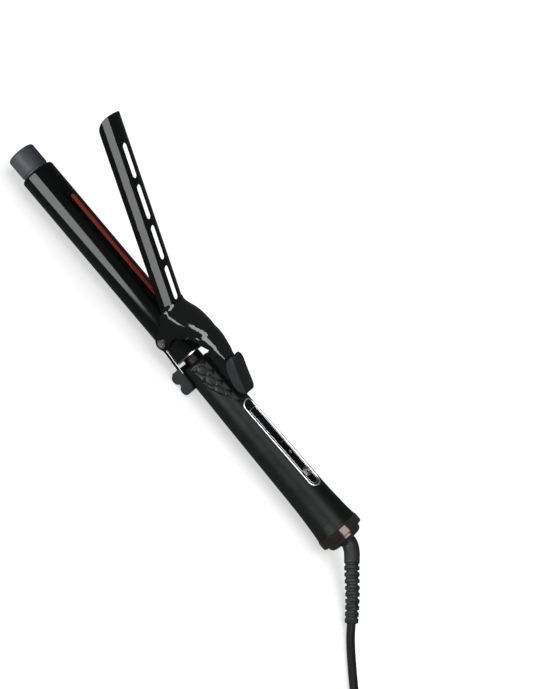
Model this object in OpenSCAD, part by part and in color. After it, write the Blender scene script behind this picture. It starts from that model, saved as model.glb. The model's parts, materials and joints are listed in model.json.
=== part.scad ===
// Spring clamp curling iron with an infrared strip, lying on its folded stand.
// Lengths are in millimetres and angles in degrees. +X runs along the iron towards the cord,
// +Z is up, and the clamp opens upwards about the pivot screws.

/* [Barrel] */
// Outer diameter of the heated barrel
barrel_d = 25; // [24:0.5:25]
// Wall of the barrel tube
barrel_wall = 1.3; // [1:0.1:1.6]
// Distance from the pivot to the barrel's front edge
barrel_reach = 147.5; // [140:0.5:152]
// Length of the cool tip in front of the barrel
tip_l = 18.5; // [16:0.5:22]
// Outer diameter of the cool tip
tip_d = 20.6; // [19:0.2:21]
// Length of the infrared window
window_l = 92; // [80:1:96]
// Width of the infrared window
window_w = 4.2; // [3.6:0.1:5]

/* [Clamp] */
// Angle by which the clamp is held open
open_angle = 28.6; // [0:0.2:32]
// Thickness of the clamp blade
blade_t = 1.2; // [0.8:0.1:1.4]
// Gap between the closed blade and the barrel
blade_gap = 0.3; // [0.3:0.05:0.5]
// Angle that the blade covers on each side of its centre line
blade_half_angle = 62.5; // [50:0.5:64]
// Distance from the pivot to the blade's nose
blade_reach = 160.5; // [156:0.5:162]
// Length of each vent slot
slot_l = 25; // [20:0.5:26]
// Width of each vent slot
slot_w = 5.4; // [4.4:0.1:6]
// Distance from one vent slot to the next
slot_pitch = 29.5; // [28:0.5:30]
// Half the width of the thumb pad
pad_half_w = 6.5; // [6.5:0.5:8]

/* [Handle] */
// Distance from the pivot to the handle's front face
handle_front = 24; // [24:0.5:25]
// Wall of the handle shells
shell_t = 2.2; // [1.8:0.1:2.4]
// Half the width of the control panel over its trim ring
panel_half_w = 5.6; // [5.2:0.1:6]
// Radius of the power button
power_r = 3.9; // [3.4:0.1:4.2]
// Radius of the plus and minus buttons
step_r = 3; // [2.6:0.1:3.2]

/* [Stand] */
// Height of the iron's axis over the table
axis_z = 16.6; // [16.6:0.1:17.4]
// Half the width of the stand's foot
foot_half_w = 13.8; // [13.4:0.1:14.2]

/* [Cord] */
// Diameter of the cord
cord_d = 6; // [5.6:0.2:6]
// Turns side by side in the cord's coil
coil_columns = 3; // [3:1:3]
// Layers of turns in the cord's coil
coil_layers = 4; // [3:1:4]

/* [Hidden] */

$fn = 96;
cut = 0.5;                          // how far a cutting solid runs past the face that it cuts
clear = 0.1;                        // running clearance
rear_end = 186;                     // from the pivot to the end cap's rear face
pivot_x = (barrel_reach + tip_l - rear_end) / 2;
barrel_r = barrel_d / 2;
bore_r = barrel_r - barrel_wall;
tip_r = tip_d / 2;
tube_end = -4;                      // the barrel tube stops here, at the collar
lip_t = 2.2;                        // the barrel's front lip, which holds the cool tip in
lip_r = tip_r - 0.4;
window_x = -73.2;                   // middle of the infrared window
spreader_x0 = -138;
spreader_x1 = -14.5;
blade_r = barrel_r + blade_gap;     // inside radius of the blade
blade_end = -9;
first_slot = -139.6;
flat_y = 12;                        // half the width over the collar's flats
liner_half_w = 6.2;
arm_y = 12.2;                       // inner face of the stand's arms
arm_t = 0.9;
ear_t = 1.5;
ear_r = 5.6;
screw_r = 1.9;
collar_end = 17.5;
neck_r = 6.7;
band_x = 174.8;
band_end = 181.5;
spigot_r = 13.6;
stem_r = 6.5;
ring_seat_r = 3.4;                  // the contact rings sit on this part of the swivel's stem
panel_x0 = 66.5;
panel_x1 = 143;
display_x0 = 77;
display_x1 = 97;
minus_x = 104.5;
plus_x = 113.5;
power_x = 131.2;
board_z = 2.8;
board_t = 1.6;
switch_z = board_z + board_t + 3.3;   // top of the switches under the buttons
button_travel = 0.5;
stand_foot_x0 = 20.5;
stand_foot_x1 = 38.5;

// Outer radius of the handle along its length: distance from the pivot, radius
handle_profile = [
    [27.6, 12], [40, 12.1], [60, 12.5], [85, 12.95], [110, 13.35], [135, 13.75], [150, 14.1],
    [161, 14.7], [168, 15.2], [band_x, 15.95]
];

// Cord route from the guard to the coil, and from the coil to the plug, measured from the pivot
guard_route = [
    [rear_end, 0, 0], [188.4, 0, 0], [191.4, -1, -0.3], [195, -3.6, -0.9], [199, -7.4, -2.2],
    [203.2, -11.4, -3.6],
    [207.4, -15.2, -4.9], [211.5, -18.8, -6.2], [215.4, -22.4, -7.4], [219.2, -26.2, -8.6],
    [222.9, -30.2, -9.7], [226.4, -34.4, -10.7], [229, -37.6, -11.4]
];
lead_route = [
    [229, -37.6, -11.4], [234, -43.8, -12.7], [239.6, -50.4, -13.4], [246, -57.8, -13.6],
    [252.6, -65.3, -13.6], [259.5, -72.9, -13.6], [267.4, -81.4, -13.6], [276.8, -89.4, -13.6],
    [287.6, -96.2, -13.6], [299.6, -101.6, -13.6], [312.4, -105.4, -13.6], [325.5, -107.5, -13.6],
    [338.7, -108, -13.6]
];
tail_route = [
    [338.7, -108, 4.4], [347, -108.3, 4.2], [355, -109, 3], [363, -110, 0.4], [371, -110.8, -3.6],
    [379, -110.8, -7.8], [387, -109.4, -11.2], [395, -106, -13.2], [402.4, -100.4, -13.6],
    [408, -93, -13.5], [411.4, -84.4, -12.4], [412.4, -75, -10.6], [412.4, -70, -9.7]
];
coil_centre = [340, -70];
coil_mean_r = 32;
coil_r0 = coil_mean_r - coil_columns * cord_d / 2;
coil_r1 = coil_mean_r + coil_columns * cord_d / 2;
coil_h = coil_layers * cord_d;
tie_t = 1;
tie_angle = 16;                     // width of the tie round the coil, in degrees
plug_l = 37;
plug_h = 13.7;
plug_w = 35.3;
pin_gap = 19;
pin_r = 2;
pin_l = 19;
pin_root = 5;                       // length of each pin inside the plug

// Control outline of the lever, seen from the side with the clamp closed
lever_outline = [
    [-3.5, -4.3], [-10, 0.8], [-18, 5.2], [-24.8, 8.2], [-25.2, 11], [-24.8, 14.4], [-22.4, 15.2],
    [-20, 17.4], [-17.7, 20.2], [-15, 23.4], [-11.8, 26.8], [-8, 30.2], [-4.2, 33], [0, 35.3],
    [5, 37.5], [10.2, 39.2], [15, 40.7], [20, 42], [44, 45.6], [44, 43.6], [30, 41.9], [20.2, 40.5],
    [15.8, 38.9], [11.6, 36.2], [7.6, 32], [3.3, 26.8], [-0.9, 23], [-3, 18.5], [-3, 13],
    [-0.4, 8.6], [4, 3.9]
];
// Underside of the hollow in the lever, seen the same way
lever_ceiling = [
    [-40, 9], [-22.8, 9], [-20.8, 13.4], [-18.6, 16.2], [-16.4, 18.8], [-13.6, 21.8], [-10.4, 24.9],
    [-6.8, 28], [-3, 30.8], [1, 33.1], [6, 35.3], [10, 36.7], [12, 37.3], [12, -30], [-40, -30]
];
// Outline of the thumb pad, seen the same way: its underside, its rear, the hollow for the thumb
// and the curled front
pad_outline = concat(
    [[21.6, 40.9], [26, 39.9], [35.7, 40.3], [42.3, 41.7], [46.2, 45], [46.6, 48.2], [45.4, 50.4]],
    arc(33.2, 87.2, 39, -72.5, -106, 10),
    [[20.6, 48.8], [19.4, 49.6], [18.2, 49.2], [17.8, 48], [19.2, 45.4]]
);
// Half-width of the lever at each height: height, half-width
lever_widths = [
    [-10, 14.7], [11, 14.7], [16, 14], [22, 12.8], [28, 11.4], [34, 9.8], [38, 8], [41, 5.2], [50, 5.2]
];

function handle_r(x) = lookup(x, handle_profile);
function mirrored(pts) = concat(
    [for (p = pts) [p[1], p[0]]],
    [for (i = [len(pts) - 1 : -1 : 0]) [-pts[i][1], pts[i][0]]]
);
function arc(cx, cy, r, a0, a1, n) = [
    for (i = [0 : n]) let (a = a0 + (a1 - a0) * i / n) [cx + r * cos(a), cy + r * sin(a)]
];
function oblong_points(x0, x1, hw) = concat(
    arc(x0 + hw, 0, hw, 90, 270, 14),
    arc(x1 - hw, 0, hw, -90, 90, 14)
);

// Pieces of the iron are drawn from the pivot, on its axis
module place() translate([pivot_x, 0, axis_z]) children();
module clamp_place() place() rotate([0, open_angle, 0]) children();

// Turned solid along X from [x, radius] points
module turned(pts) rotate([90, 0, 90]) rotate_extrude() polygon([for (p = pts) [p[1], p[0]]]);
module rod_x(r, x0, x1) translate([x0, 0, 0]) rotate([0, 90, 0]) cylinder(r = r, h = x1 - x0);
module rod_y(r, y0, y1) translate([0, y0, 0]) rotate([-90, 0, 0]) cylinder(r = r, h = y1 - y0);
module tube_x(r1, r0, x0, x1) difference() {
    rod_x(r1, x0, x1);
    rod_x(r0, x0 - cut, x1 + cut);
}
// Side outline in X and Z, given a width in Y
module side_plate(pts, y0, y1) translate([0, y1, 0]) rotate([90, 0, 0])
    linear_extrude(y1 - y0) polygon(pts);
module oblong(x0, x1, hw, z0, z1) translate([0, 0, z0])
    linear_extrude(z1 - z0) polygon(oblong_points(x0, x1, hw));
// Solid of the handle's own form between two stations, grown by an offset
module handle_form(grow, x0, x1) {
    inner = [for (p = handle_profile) if (p[0] > x0 && p[0] < x1) [p[0], p[1] + grow]];
    turned(concat(
        [[x0, 0], [x0, handle_r(x0) + grow]],
        inner,
        [[x1, handle_r(x1) + grow], [x1, 0]]
    ));
}
// Layer that follows the handle's surface, between two offsets from it
module handle_layer(low, high, x0, x1) difference() {
    handle_form(high, x0, x1);
    handle_form(low, x0 - cut, x1 + cut);
}

// ---- barrel ----
module barrel_tube() color([0.03, 0.035, 0.035]) place() difference() {
    shoulder = 2;
    turned(concat(
        [[-barrel_reach, lip_r]],
        arc(-barrel_reach + shoulder, barrel_r - shoulder, shoulder, 180, 90, 8),
        [[tube_end, barrel_r], [tube_end, bore_r]],
        [[-barrel_reach + lip_t, bore_r], [-barrel_reach + lip_t, lip_r]]
    ));
    flats();
    oblong(window_x - window_l / 2, window_x + window_l / 2, window_w / 2, barrel_r - 4, barrel_r + 2);
}
module ir_window() color([0.75, 0.16, 0.08]) place() intersection() {
    oblong(window_x - window_l / 2 + clear, window_x + window_l / 2 - clear, window_w / 2 - clear, 8, 14);
    tube_x(barrel_r - 0.2, barrel_r - 1.8, window_x - window_l / 2, window_x + window_l / 2);
}
module ir_emitter() color([0.9, 0.6, 0.5]) place() translate([0, 0, 6.4]) {
    rod_x(2.2, window_x - 42, window_x + 42);
    for (side = [-1, 1]) translate([window_x + side * 44.5, 0, 0]) rod_x(2.9, -2.4, 2.4);
}
module ir_reflector() color([0.8, 0.8, 0.8]) place() translate([0, 0, 6.4]) difference() {
    tube_x(4.2, 3.8, window_x - 47, window_x + 47);
    translate([window_x - 50, -6, 0.6]) cube([100, 12, 8]);
}
// Half tube along the bottom of the barrel, with two webs that hold the heater between them
module heat_spreader() color([0.7, 0.7, 0.72]) place() intersection() {
    difference() {
        rod_x(bore_r - 0.05, spreader_x0, spreader_x1);
        difference() {
            rod_x(bore_r - 1.8, spreader_x0 - cut, spreader_x1 + cut);
            for (z = [-1.6, -5.1]) translate([spreader_x0 - 1, -12, z]) cube([130, 24, 1.4]);
        }
    }
    translate([spreader_x0 - 1, -12, -14]) cube([130, 24, 13.8]);
}
module ceramic_heater() color([0.95, 0.94, 0.9]) place() translate([-110, -5, -3.65]) cube([78, 10, 2]);
module temperature_sensor() color([0.85, 0.5, 0.2]) place() translate([0, 4.5, 2]) {
    rod_x(1.2, -62, -54);
    rod_x(0.5, -54, -14.5);
}
module cool_tip() color([0.27, 0.28, 0.3]) place() {
    dome = 2.4;
    seam = 0.5;
    end = -barrel_reach - tip_l;
    tip_flange = -barrel_reach + lip_t + clear;
    tip_inner = -barrel_reach + 9.3;
    turned(concat(
        [[end, 0]],
        arc(end + dome, tip_r - dome, dome, 180, 90, 8),
        [[-barrel_reach - seam, tip_r], [-barrel_reach - seam, lip_r - clear], [tip_flange, lip_r - clear],
            [tip_flange, bore_r - 0.05], [tip_inner, bore_r - 0.05], [tip_inner, 0]]
    ));
}

// ---- base of the barrel and pivot ----
module flats() {
    for (side = [0, 1]) mirror([0, side, 0])
        translate([-8, flat_y, -20]) cube([40, 10, 40]);
}
module barrel_collar() color([0.03, 0.035, 0.035]) place() difference() {
    union() {
        rod_x(barrel_r, tube_end, collar_end);
        rod_x(bore_r - 0.05, -14, tube_end + cut);
    }
    flats();
    rod_x(neck_r, -14 - cut, collar_end + cut);
    rod_y(1.2, -20, 20);
}
module collar_rim() color([0.7, 0.7, 0.7]) place() difference() {
    tube_x(barrel_r + 0.1, neck_r, collar_end, collar_end + 0.8);
    flats();
}
module neck_tube() color([0.12, 0.1, 0.09]) place() difference() {
    union() {
        rod_x(neck_r - 0.02, -13, 44);
        rod_x(9.4, 30, 32);
    }
    rod_x(4.6, -14, 45);
}
module pivot_screws() color([0.75, 0.74, 0.7]) place() for (side = [0, 1]) mirror([0, side, 0]) {
    rod_y(1.15, 7.5, flat_y);
    rod_y(screw_r, flat_y, 14.8);
    difference() {
        rod_y(3.2, 14.8, 16);
        for (turn = [45, 135]) rotate([0, turn, 0]) translate([-2, 15.4, -0.4]) cube([4, 1, 0.8]);
    }
}
// Torsion spring lying across the collar, under the lever
module clamp_spring() color([0.6, 0.6, 0.62]) place() translate([10, 0, barrel_r + 3.25]) {
    wire_r = 0.6;
    coil_r = 2.6;
    turns = 5;
    steps = 14;
    pitch = 1.5;
    wire = [for (i = [0 : turns * steps])
        let (a = i * 360 / steps)
        [coil_r * cos(a), -turns * pitch / 2 + pitch * i / steps, coil_r * sin(a)]];
    sweep(wire, taper(wire, wire_r, wire_r), 8);
}

// ---- clamp ----
module blade_plan() {
    half_w = 12.6;
    nose = 11;
    front = [for (i = [-12 : 12]) let (a = i * 90 / 12)
        [-blade_reach + nose * (1 - pow(cos(a), 0.9)), half_w * sin(a)]];
    difference() {
        polygon(concat(front, [[blade_end, half_w], [blade_end, -half_w]]));
        for (i = [0 : 3]) {
            x0 = first_slot + i * slot_pitch;
            polygon(oblong_points(x0, x0 + slot_l, slot_w / 2));
        }
    }
}
module clamp_blade() color([0.03, 0.035, 0.035]) clamp_place() difference() {
    intersection() {
        translate([0, 0, 2]) linear_extrude(14) blade_plan();
        difference() {
            tube_x(blade_r + blade_t, blade_r, -blade_reach - 1, blade_end + 1);
            for (side = [0, 1]) mirror([0, side, 0]) rotate([-blade_half_angle, 0, 0])
                translate([-200, 0, -30]) cube([220, 30, 60]);
        }
    }
    rivet_pair(1.4);
}
module rivet_pair(r) for (side = [-1, 1]) translate([-18, side * 3.5, 12.4]) cylinder(r = r, h = 4.4);
module blade_rivets() color([0.6, 0.6, 0.6]) clamp_place() rivet_pair(1.4);

module lever_section(inset, x0, x1) translate([x0, 0, 0]) rotate([90, 0, 90]) linear_extrude(x1 - x0)
    polygon(mirrored([for (p = lever_widths) [p[0], p[1] - inset]]));
module clamp_lever() color([0.03, 0.035, 0.035]) clamp_place() difference() {
    union() {
        difference() {
            intersection() {
                union() {
                    side_plate(lever_outline, -20, 20);
                    rod_y(ear_r, -20, 20);
                }
                lever_section(0, -40, 60);
            }
            intersection() {
                side_plate(lever_ceiling, -20, 20);
                lever_section(ear_t, -60, 60);
            }
        }
        intersection() {
            translate([-24, -6, 10]) cube([12, 12, 30]);
            side_plate(lever_outline, -20, 20);
        }
    }
    rod_x(blade_r + blade_t + 0.05, -60, -8);
    rod_y(screw_r + 0.05, -30, 30);
    rivet_pair(1.4);
}
// Moulded web under the lever's arm, between the arch and the thumb pad
module arm_liner() color([0.05, 0.05, 0.055]) clamp_place() difference() {
    side_plate([
        [11.6, 36.6], [11.3, 30.6], [12.4, 28.6], [14.9, 28.6], [19.6, 30.8], [24.3, 32.6], [28.5, 34.4],
        [33, 37], [36, 40.6], [36, 43], [20, 42]
    ], -liner_half_w, liner_half_w);
    side_plate(lever_outline, -20, 20);
    side_plate(pad_outline, -20, 20);
}
// Plastic pad over the lever's end, hollowed for the thumb and curled up at its front
module thumb_pad() color([0.22, 0.23, 0.25]) clamp_place() difference() {
    wall = 1.2;
    intersection() {
        side_plate(pad_outline, -pad_half_w, pad_half_w);
        translate([0, 0, 38]) linear_extrude(30) polygon(concat(
            arc(40, 0, pad_half_w, 60, -60, 10),
            arc(17.6 + pad_half_w, 0, pad_half_w, 270, 90, 12)
        ));
    }
    side_plate(lever_outline, wall - pad_half_w, pad_half_w - wall);
}

// ---- stand ----
// Bar and tab of one stand arm, which run back from the pivot into the foot
module stand_bar() {
    translate([0, arm_y, -4.9]) cube([30, arm_t, 2.2]);
    translate([24, arm_y, -9]) cube([6, arm_t, 6]);
}
module stand_bracket() color([0.62, 0.62, 0.62]) place()
    for (side = [0, 1]) mirror([0, side, 0]) difference() {
        union() {
            rod_y(4.9, arm_y, arm_y + arm_t);
            stand_bar();
        }
        rod_y(screw_r + 0.05, 0, 30);
    }
module stand_foot() color([0.3, 0.31, 0.32]) place() difference() {
    side_plate([
        [stand_foot_x0, -4.4], [stand_foot_x0, -13], [22.2, -15.6], [24, -axis_z], [26.8, -axis_z],
        [28.6, -15.2], [29.8, -12.6], [31.4, -15.4], [33, -axis_z], [36, -axis_z], [37.8, -15.2],
        [stand_foot_x1, -12.6], [36.6, -5.6], [34, -4.4]
    ], -foot_half_w, foot_half_w);
    rod_x(12.6, 10, 50);
    for (side = [0, 1]) mirror([0, side, 0]) stand_bar();
}

// ---- handle ----
module handle_outer() {
    shoulder = 3.6;
    turned(concat(
        [[handle_front, 0]],
        arc(handle_front + shoulder, handle_r(27.6) - shoulder, shoulder, 180, 90, 8),
        [for (p = handle_profile) if (p[0] > 28) p],
        [[band_x, spigot_r], [band_end, spigot_r], [band_end, 0]]
    ));
}
module handle_inner() {
    turned(concat(
        [[handle_front + shell_t, 0], [handle_front + shell_t, 9.5]],
        [for (p = handle_profile) if (p[0] > 28 && p[0] < 160) [p[0], p[1] - shell_t]],
        [[168, 11.6], [band_end + cut, 11.6], [band_end + cut, 0]]
    ));
}
module handle_shell() difference() {
    handle_outer();
    handle_inner();
    rod_x(neck_r, 0, 40);
}
module half_space(side) mirror([0, 0, side]) translate([0, -30, 0]) cube([200, 60, 40]);
module panel_solid(hw, low, high) intersection() {
    inset = panel_half_w - hw;
    oblong(panel_x0 + inset, panel_x1 - inset, hw, 0, 30);
    handle_layer(low, high, panel_x0 - 2, panel_x1 + 2);
}
module handle_upper_shell() color([0.09, 0.09, 0.1]) place() difference() {
    intersection() {
        handle_shell();
        half_space(0);
    }
    difference() {
        oblong(panel_x0, panel_x1, panel_half_w, 0, 30);
        difference() {
            handle_form(-1.8, panel_x0 - 2, panel_x1 + 2);
            oblong(panel_x0 + 1.6, panel_x1 - 1.6, panel_half_w - 1.6, 0, 30);
        }
    }
}
module handle_lower_shell() color([0.09, 0.09, 0.1]) place() difference() {
    union() {
        intersection() {
            handle_shell();
            half_space(1);
        }
        for (x = [56, 156]) intersection() {
            translate([x, 0, -30]) cylinder(r = 3.4, h = 26);
            handle_form(-0.5, 40, 170);
        }
    }
    for (x = [56, 156]) translate([x, 0, -30]) {
        cylinder(r = 1.2, h = 27);
        cylinder(r = 2.6, h = 30 - handle_r(x) + 2.2);
    }
}
module handle_screws() color([0.5, 0.5, 0.5]) place() for (x = [56, 156]) {
    translate([x, 0, -handle_r(x) + 2.2]) cylinder(r = 1.15, h = 6);
    translate([x, 0, -handle_r(x) + 0.6]) cylinder(r = 2.4, h = 1.6);
}
module panel_trim_ring() color([0.85, 0.84, 0.83]) place() difference() {
    panel_solid(panel_half_w - 0.05, -1.75, 0.35);
    oblong(panel_x0 + 1, panel_x1 - 1, panel_half_w - 1, 0, 30);
}
module button_holes(grow) {
    for (x = [minus_x, plus_x]) translate([x, 0, 0]) cylinder(r = step_r + grow, h = 30);
    translate([power_x, 0, 0]) cylinder(r = power_r + grow, h = 30);
}
module panel_cover() color([0.02, 0.02, 0.025]) place() difference() {
    panel_solid(panel_half_w - 1.05, -1.75, -0.3);
    button_holes(clear);
    oblong(display_x0, display_x1, 3.2, 0, 30);
}
module display_window() color([0.1, 0.1, 0.12]) place() intersection() {
    oblong(display_x0 + clear, display_x1 - clear, 3.1, 0, 30);
    handle_layer(-1.6, -0.4, display_x0 - 1, display_x1 + 1);
}
// Button with a cap in the panel, a flange under it and a stem over its switch
module push_button(x, r) {
    flange_z = handle_r(x) - 3.3;
    flange_t = 0.9;
    intersection() {
        translate([x, 0, flange_z]) cylinder(r = r, h = 10);
        handle_form(-0.05, x - 6, x + 6);
    }
    translate([x, 0, flange_z - flange_t]) cylinder(r = r + 0.7, h = flange_t);
    stem_z = switch_z + button_travel + clear;
    translate([x, 0, stem_z]) cylinder(r = 1.5, h = flange_z - flange_t + cut - stem_z);
}
module minus_button() color([0.05, 0.05, 0.06]) place() push_button(minus_x, step_r);
module plus_button() color([0.05, 0.05, 0.06]) place() push_button(plus_x, step_r);
module power_button() color([0.05, 0.05, 0.06]) place() push_button(power_x, power_r);

// ---- electronics ----
module circuit_board() color([0.05, 0.3, 0.15]) place()
    translate([64, -8.6, board_z]) cube([84, 17.2, board_t]);
module board_parts() color([0.2, 0.2, 0.22]) place() {
    translate([68, -4, -1.6]) cube([9, 8, board_z + 1.6]);
    translate([82, -6.5, 0.4]) cube([13, 6, board_z - 0.4]);
    translate([100, 2, board_z - 9]) cylinder(r = 3.2, h = 9);
    translate([118, -5, board_z - 3.4]) cube([7, 10, 3.4]);
    translate([138, -5.5, board_z + board_t]) cube([5, 11, 2.4]);
}
module tact_switches() color([0.15, 0.15, 0.15]) place() for (x = [minus_x, plus_x, power_x]) {
    translate([x - 2.6, -2.6, board_z + board_t]) cube([5.2, 5.2, 2.3]);
    translate([x, 0, board_z + board_t]) cylinder(r = 1.3, h = switch_z - board_z - board_t);
}
module display_module() color([0.8, 0.85, 0.8]) place()
    translate([display_x0 + 0.8, -3.6, board_z + board_t]) cube([display_x1 - display_x0 - 1.6, 7.2, 4.2]);
module lead_wires() color([0.7, 0.1, 0.1]) place() {
    for (side = [-1, 1]) {
        translate([0, side * 2, 1.4]) rod_x(0.8, -14, 68);
        translate([0, side * 2, -1.4]) rod_x(0.8, 146, 161.5);
    }
}

// ---- rear end and swivel ----
module rear_band() color([0.45, 0.36, 0.34]) place() turned([
    [band_x, spigot_r + 0.05], [band_x, 16.05], [band_x + 0.6, 16.4], [band_x + 3, 16.6],
    [band_end - 0.6, 16.5], [band_end, 16.1], [band_end, spigot_r + 0.05]
]);
module end_cap() color([0.2, 0.2, 0.2]) place() difference() {
    turned(concat(
        [[172, 0], [172, 11.5], [band_end, 11.5], [band_end, 13.3]],
        arc(rear_end - 3.2, 10.1, 3.2, 90, 0, 8),
        [[rear_end, 0]]
    ));
    rod_x(stem_r + clear, 171, rear_end + cut);
}
module swivel_stem() color([0.1, 0.1, 0.1]) place() difference() {
    union() {
        rod_x(ring_seat_r, 162, 170);
        rod_x(stem_r, 170, rear_end);
        rod_x(8.6, 169, 171.8);
    }
    rod_x(2.2, 160, rear_end + cut);
}
module contact_rings() color([0.8, 0.6, 0.3]) place()
    for (x = [163, 166]) tube_x(5, ring_seat_r, x, x + 1.6);

// ---- cord ----
function unit(v) = v / norm(v);
function side_of(d) = unit(cross(d, abs(d[2]) < 0.9 ? [0, 0, 1] : [0, 1, 0]));
function heading(pts, i) = unit(pts[min(i + 1, len(pts) - 1)] - pts[max(i - 1, 0)]);
function ring(pts, i, r, n) = let (d = heading(pts, i), u = side_of(d), v = cross(u, d))
    [for (k = [0 : n - 1]) pts[i] + r * (cos(360 * k / n) * u + sin(360 * k / n) * v)];
function taper(pts, r0, r1) = [for (i = [0 : len(pts) - 1]) r0 + (r1 - r0) * i / (len(pts) - 1)];
// Tube with n sides along points, with one radius for each point, as one closed polyhedron
module sweep(pts, radii, n) {
    m = len(pts);
    rings = [for (i = [0 : m - 1]) each ring(pts, i, radii[i], n)];
    sides = [for (i = [0 : m - 2]) for (k = [0 : n - 1]) let (a = i * n + k, b = i * n + (k + 1) % n)
        each [[a, a + n, b + n], [a, b + n, b]]];
    caps = [[for (k = [0 : n - 1]) k], [for (k = [n - 1 : -1 : 0]) (m - 1) * n + k]];
    polyhedron(points = rings, faces = concat(sides, caps), convexity = 6);
}
module cord_guard() color([0.2, 0.21, 0.23]) place()
    sweep(guard_route, taper(guard_route, 5.6, 4.4), 12);
module cord() color([0.1, 0.1, 0.1]) place() for (route = [lead_route, tail_route])
    sweep(route, taper(route, cord_d / 2, cord_d / 2), 10);
module cord_coil() color([0.1, 0.1, 0.1]) difference() {
    translate([pivot_x + coil_centre[0], coil_centre[1], 0]) rotate_extrude()
        translate([coil_r0, 0]) square([coil_r1 - coil_r0, coil_h]);
    tie_ring(tie_angle + 1, coil_r0 - 2, coil_r1 + 2, -1, tie_t);
}
// Arc of rectangular section round the coil's centre, where the tie lies
module tie_ring(angle, r0, r1, z0, z1) translate([pivot_x + coil_centre[0], coil_centre[1], 0])
    rotate([0, 0, 90 - angle / 2]) rotate_extrude(angle = angle)
        translate([r0, z0]) square([r1 - r0, z1 - z0]);
module cord_tie() color([0.08, 0.08, 0.08]) difference() {
    tie_ring(tie_angle, coil_r0 - tie_t, coil_r1 + tie_t, 0, coil_h + tie_t);
    tie_ring(tie_angle + 4, coil_r0, coil_r1, tie_t, coil_h);
}
module plug_place() place() translate(tail_route[len(tail_route) - 1]) children();
module plug_body() color([0.08, 0.08, 0.08]) plug_place() {
    neck = 9;
    difference() {
        translate([0, 0, -plug_h / 2]) linear_extrude(plug_h) polygon([
            [-5, neck], [-plug_w / 2 + 4, neck + 12], [-plug_w / 2, neck + 18], [-plug_w / 2, plug_l],
            [plug_w / 2, plug_l], [plug_w / 2, neck + 18], [plug_w / 2 - 4, neck + 12], [5, neck]
        ]);
        pin_pair();
    }
    rotate([-90, 0, 0]) cylinder(r1 = 4, r2 = 5, h = neck);
}
// Both pins, each with a thinner root inside the plug
module pin_pair() for (side = [-1, 1]) translate([side * pin_gap / 2, plug_l, 0]) rotate([-90, 0, 0]) {
    cylinder(r = pin_r, h = pin_l);
    translate([0, 0, -pin_root]) cylinder(r = pin_r - 0.4, h = pin_root + cut);
}
module plug_pins() color([0.8, 0.75, 0.6]) plug_place() pin_pair();

barrel_tube();
ir_window();
ir_emitter();
ir_reflector();
heat_spreader();
ceramic_heater();
temperature_sensor();
cool_tip();
barrel_collar();
collar_rim();
neck_tube();
pivot_screws();
clamp_spring();
clamp_blade();
clamp_lever();
arm_liner();
thumb_pad();
blade_rivets();
stand_bracket();
stand_foot();
handle_upper_shell();
handle_lower_shell();
handle_screws();
panel_trim_ring();
panel_cover();
display_window();
minus_button();
plus_button();
power_button();
circuit_board();
board_parts();
tact_switches();
display_module();
lead_wires();
rear_band();
end_cap();
swivel_stem();
contact_rings();
cord_guard();
cord();
cord_coil();
cord_tie();
plug_body();
plug_pins();
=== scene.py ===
"""A spring-clamp curling iron lying on its folded stand, with its clamp held open."""

import json
import math

import bpy
import bmesh
from mathutils import Matrix, Quaternion, Vector


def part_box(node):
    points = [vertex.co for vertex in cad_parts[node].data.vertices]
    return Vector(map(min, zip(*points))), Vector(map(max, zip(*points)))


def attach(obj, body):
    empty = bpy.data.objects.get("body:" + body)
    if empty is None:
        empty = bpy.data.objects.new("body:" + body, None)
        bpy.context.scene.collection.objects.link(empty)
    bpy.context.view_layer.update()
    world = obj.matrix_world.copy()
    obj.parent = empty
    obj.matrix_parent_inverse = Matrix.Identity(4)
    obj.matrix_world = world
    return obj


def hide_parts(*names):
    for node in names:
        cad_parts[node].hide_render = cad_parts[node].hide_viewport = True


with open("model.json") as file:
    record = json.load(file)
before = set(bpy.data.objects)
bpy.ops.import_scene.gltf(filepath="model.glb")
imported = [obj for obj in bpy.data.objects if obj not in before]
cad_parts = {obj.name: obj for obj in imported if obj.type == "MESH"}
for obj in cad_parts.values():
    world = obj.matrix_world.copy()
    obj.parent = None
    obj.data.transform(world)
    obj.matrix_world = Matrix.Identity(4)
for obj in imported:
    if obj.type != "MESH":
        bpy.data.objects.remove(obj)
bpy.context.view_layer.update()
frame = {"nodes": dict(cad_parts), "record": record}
NODES = frame["nodes"]
MM = 0.001

# Shapes are worked out in millimetres from the clamp's pivot, +X towards the cord and +Z up.
screws_low, screws_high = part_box("pivot_screws")
PIVOT = (screws_low + screws_high) / 2
IRON = Matrix.Translation(PIVOT) @ Matrix.Scale(MM, 4)
OPEN_ANGLE = math.radians(28.6)
CLAMP = IRON @ Matrix.Rotation(OPEN_ANGLE, 4, "Y")


def box_mm(node):
    """A CAD node's lowest and highest corners in the iron's own millimetres."""
    low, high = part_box(node)
    return (low - PIVOT) / MM, (high - PIVOT) / MM


# ---- camera ----
def add_camera():
    """Stands over the iron's near side, turned so that the iron runs from upper left to lower right."""
    azimuth, elevation, roll = (math.radians(a) for a in (-0.38, 41.47, 49.59))
    distance, along, across = 1144.0, -64.34, -6.77
    back = Vector((
        -math.sin(azimuth) * math.cos(elevation),
        -math.cos(azimuth) * math.cos(elevation),
        math.sin(elevation),
    ))
    right = Vector((math.cos(azimuth), -math.sin(azimuth), 0))
    up = back.cross(right)
    across_view = math.cos(roll) * right + math.sin(roll) * up
    up_view = -math.sin(roll) * right + math.cos(roll) * up
    place = back * distance - across_view * along + up_view * across
    data = bpy.data.cameras.new("camera")
    data.sensor_fit = "AUTO"
    data.sensor_width = 36
    data.lens = 86.2
    data.clip_start = 0.05
    data.clip_end = 20
    camera = bpy.data.objects.new("camera", data)
    turn = Matrix((across_view, up_view, back)).transposed().to_4x4()
    camera.matrix_world = Matrix.Translation(IRON @ place) @ turn
    bpy.context.scene.collection.objects.link(camera)
    bpy.context.scene.camera = camera


add_camera()


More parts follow.
